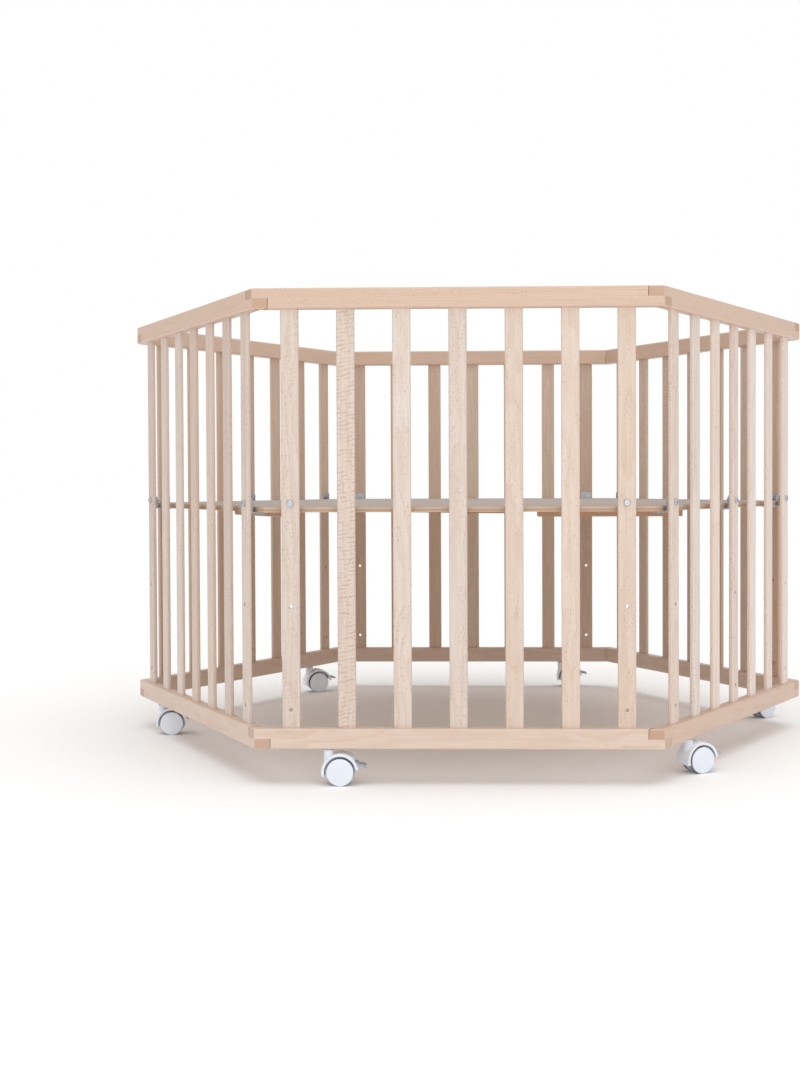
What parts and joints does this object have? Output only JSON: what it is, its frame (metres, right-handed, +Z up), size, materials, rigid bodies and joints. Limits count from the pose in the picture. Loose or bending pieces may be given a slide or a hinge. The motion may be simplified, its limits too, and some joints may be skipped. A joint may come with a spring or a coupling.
{
  "type": "playpen",
  "caption": "Hexagonal wooden baby playpen with slatted sides, a height-adjustable floor and a braked twin-wheel caster under each side.",
  "frame": {"origin": "on the ground under the middle of the pen", "axes": "+X to the right along the front panel, +Y towards the back panel, +Z up"},
  "size_m": [1.1914, 1.0456, 0.722],
  "materials": {
    "beech": "clear satin lacquer on planed beech",
    "floor_board": "matt grey laminate on beech plywood",
    "white_plastic": "moulded, satin gloss",
    "white_wheel": "moulded, with a grey soft tread",
    "grey_plastic": "moulded, ribbed foot pad",
    "zinc_steel": "bright zinc plated",
    "brass": "turned"
  },
  "bodies": {
    "frame": {"front_top_rail": "beech", "front_bottom_rail": "beech", "front_slats": "beech", "front_right_top_rail": "beech", "front_right_bottom_rail": "beech", "front_right_slats": "beech", "back_right_top_rail": "beech", "back_right_bottom_rail": "beech", "back_right_slats": "beech", "back_top_rail": "beech", "back_bottom_rail": "beech", "back_slats": "beech", "back_left_top_rail": "beech", "back_left_bottom_rail": "beech", "back_left_slats": "beech", "front_left_top_rail": "beech", "front_left_bottom_rail": "beech", "front_left_slats": "beech", "corner_bolts": "zinc_steel", "corner_inserts": "brass", "caster_sockets": "grey_plastic", "caster_stems": "zinc_steel"},
    "floor": {"front_floor_board": "floor_board", "rear_floor_board": "floor_board", "floor_battens": "beech", "floor_brackets": "zinc_steel", "floor_bolts": "zinc_steel", "floor_nuts": "zinc_steel", "bracket_screws": "zinc_steel"},
    "front_caster": {"front_caster_housing": "white_plastic", "front_caster_axle": "zinc_steel"},
    "front_outer_wheel": {"front_caster_outer_wheel": "white_wheel"},
    "front_inner_wheel": {"front_caster_inner_wheel": "white_wheel"},
    "front_brake": {"front_brake_lever": "grey_plastic"},
    "front_right_caster": {"front_right_caster_housing": "white_plastic", "front_right_caster_axle": "zinc_steel"},
    "front_right_outer_wheel": {"front_right_caster_outer_wheel": "white_wheel"},
    "front_right_inner_wheel": {"front_right_caster_inner_wheel": "white_wheel"},
    "front_right_brake": {"front_right_brake_lever": "grey_plastic"},
    "back_right_caster": {"back_right_caster_housing": "white_plastic", "back_right_caster_axle": "zinc_steel"},
    "back_right_outer_wheel": {"back_right_caster_outer_wheel": "white_wheel"},
    "back_right_inner_wheel": {"back_right_caster_inner_wheel": "white_wheel"},
    "back_right_brake": {"back_right_brake_lever": "grey_plastic"},
    "back_caster": {"back_caster_housing": "white_plastic", "back_caster_axle": "zinc_steel"},
    "back_outer_wheel": {"back_caster_outer_wheel": "white_wheel"},
    "back_inner_wheel": {"back_caster_inner_wheel": "white_wheel"},
    "back_brake": {"back_brake_lever": "grey_plastic"},
    "back_left_caster": {"back_left_caster_housing": "white_plastic", "back_left_caster_axle": "zinc_steel"},
    "back_left_outer_wheel": {"back_left_caster_outer_wheel": "white_wheel"},
    "back_left_inner_wheel": {"back_left_caster_inner_wheel": "white_wheel"},
    "back_left_brake": {"back_left_brake_lever": "grey_plastic"},
    "front_left_caster": {"front_left_caster_housing": "white_plastic", "front_left_caster_axle": "zinc_steel"},
    "front_left_outer_wheel": {"front_left_caster_outer_wheel": "white_wheel"},
    "front_left_inner_wheel": {"front_left_caster_inner_wheel": "white_wheel"},
    "front_left_brake": {"front_left_brake_lever": "grey_plastic"}
  },
  "joints": [
    {"name": "floor_height", "type": "slide", "parent": "frame", "child": "floor", "axis": [0, 0, 1], "range_m": [-0.3, 0], "deforming": ["floor_bolts"]},
    {"name": "front_swivel", "type": "hinge", "parent": "frame", "child": "front_caster", "pos_m": [-0.19, -0.50615, 0.045], "axis": [0, 0, 1], "continuous": true},
    {"name": "front_outer_wheel_spin", "type": "hinge", "parent": "front_caster", "child": "front_outer_wheel", "pos_m": [-0.1725, -0.50615, 0.02], "axis": [0, 1, 0], "continuous": true},
    {"name": "front_inner_wheel_spin", "type": "hinge", "parent": "front_caster", "child": "front_inner_wheel", "pos_m": [-0.1725, -0.50615, 0.02], "axis": [0, 1, 0], "continuous": true},
    {"name": "front_brake_release", "type": "hinge", "parent": "front_caster", "child": "front_brake", "pos_m": [-0.14966, -0.50615, 0.03065], "axis": [0, -1, 0], "range_deg": [0, 22]},
    {"name": "front_right_swivel", "type": "hinge", "parent": "frame", "child": "front_right_caster", "pos_m": [0.34334, -0.41762, 0.045], "axis": [0, 0, 1], "continuous": true},
    {"name": "front_right_outer_wheel_spin", "type": "hinge", "parent": "front_right_caster", "child": "front_right_outer_wheel", "pos_m": [0.35893, -0.40968, 0.02], "axis": [-0.454, 0.891, 0], "continuous": true},
    {"name": "front_right_inner_wheel_spin", "type": "hinge", "parent": "front_right_caster", "child": "front_right_inner_wheel", "pos_m": [0.35893, -0.40968, 0.02], "axis": [-0.454, 0.891, 0], "continuous": true},
    {"name": "front_right_brake_release", "type": "hinge", "parent": "front_right_caster", "child": "front_right_brake", "pos_m": [0.37928, -0.39931, 0.03065], "axis": [0.454, -0.891, 0], "range_deg": [0, 22]},
    {"name": "back_right_swivel", "type": "hinge", "parent": "frame", "child": "back_right_caster", "pos_m": [0.53334, 0.08853, 0.045], "axis": [0, 0, 1], "continuous": true},
    {"name": "back_right_outer_wheel_spin", "type": "hinge", "parent": "back_right_caster", "child": "back_right_outer_wheel", "pos_m": [0.54768, 0.09857, 0.02], "axis": [-0.5736, 0.8192, 0], "continuous": true},
    {"name": "back_right_inner_wheel_spin", "type": "hinge", "parent": "back_right_caster", "child": "back_right_inner_wheel", "pos_m": [0.54768, 0.09857, 0.02], "axis": [-0.5736, 0.8192, 0], "continuous": true},
    {"name": "back_right_brake_release", "type": "hinge", "parent": "back_right_caster", "child": "back_right_brake", "pos_m": [0.56638, 0.11167, 0.03065], "axis": [0.5736, -0.8192, 0], "range_deg": [0, 22]},
    {"name": "back_swivel", "type": "hinge", "parent": "frame", "child": "back_caster", "pos_m": [0.19, 0.50615, 0.045], "axis": [0, 0, 1], "continuous": true},
    {"name": "back_outer_wheel_spin", "type": "hinge", "parent": "back_caster", "child": "back_outer_wheel", "pos_m": [0.2075, 0.50615, 0.02], "axis": [0, 1, 0], "continuous": true},
    {"name": "back_inner_wheel_spin", "type": "hinge", "parent": "back_caster", "child": "back_inner_wheel", "pos_m": [0.2075, 0.50615, 0.02], "axis": [0, 1, 0], "continuous": true},
    {"name": "back_brake_release", "type": "hinge", "parent": "back_caster", "child": "back_brake", "pos_m": [0.23034, 0.50615, 0.03065], "axis": [0, -1, 0], "range_deg": [0, 22]},
    {"name": "back_left_swivel", "type": "hinge", "parent": "frame", "child": "back_left_caster", "pos_m": [-0.34334, 0.41762, 0.045], "axis": [0, 0, 1], "continuous": true},
    {"name": "back_left_outer_wheel_spin", "type": "hinge", "parent": "back_left_caster", "child": "back_left_outer_wheel", "pos_m": [-0.32711, 0.42418, 0.02], "axis": [-0.3746, 0.9272, 0], "continuous": true},
    {"name": "back_left_inner_wheel_spin", "type": "hinge", "parent": "back_left_caster", "child": "back_left_inner_wheel", "pos_m": [-0.32711, 0.42418, 0.02], "axis": [-0.3746, 0.9272, 0], "continuous": true},
    {"name": "back_left_brake_release", "type": "hinge", "parent": "back_left_caster", "child": "back_left_brake", "pos_m": [-0.30594, 0.43273, 0.03065], "axis": [0.3746, -0.9272, 0], "range_deg": [0, 22]},
    {"name": "front_left_swivel", "type": "hinge", "parent": "frame", "child": "front_left_caster", "pos_m": [-0.53334, -0.08853, 0.045], "axis": [0, 0, 1], "continuous": true},
    {"name": "front_left_outer_wheel_spin", "type": "hinge", "parent": "front_left_caster", "child": "front_left_outer_wheel", "pos_m": [-0.51588, -0.08731, 0.02], "axis": [-0.0698, 0.9976, 0], "continuous": true},
    {"name": "front_left_inner_wheel_spin", "type": "hinge", "parent": "front_left_caster", "child": "front_left_inner_wheel", "pos_m": [-0.51588, -0.08731, 0.02], "axis": [-0.0698, 0.9976, 0], "continuous": true},
    {"name": "front_left_brake_release", "type": "hinge", "parent": "front_left_caster", "child": "front_left_brake", "pos_m": [-0.4931, -0.08572, 0.03065], "axis": [0.0698, -0.9976, 0], "range_deg": [0, 22]}
  ]
}
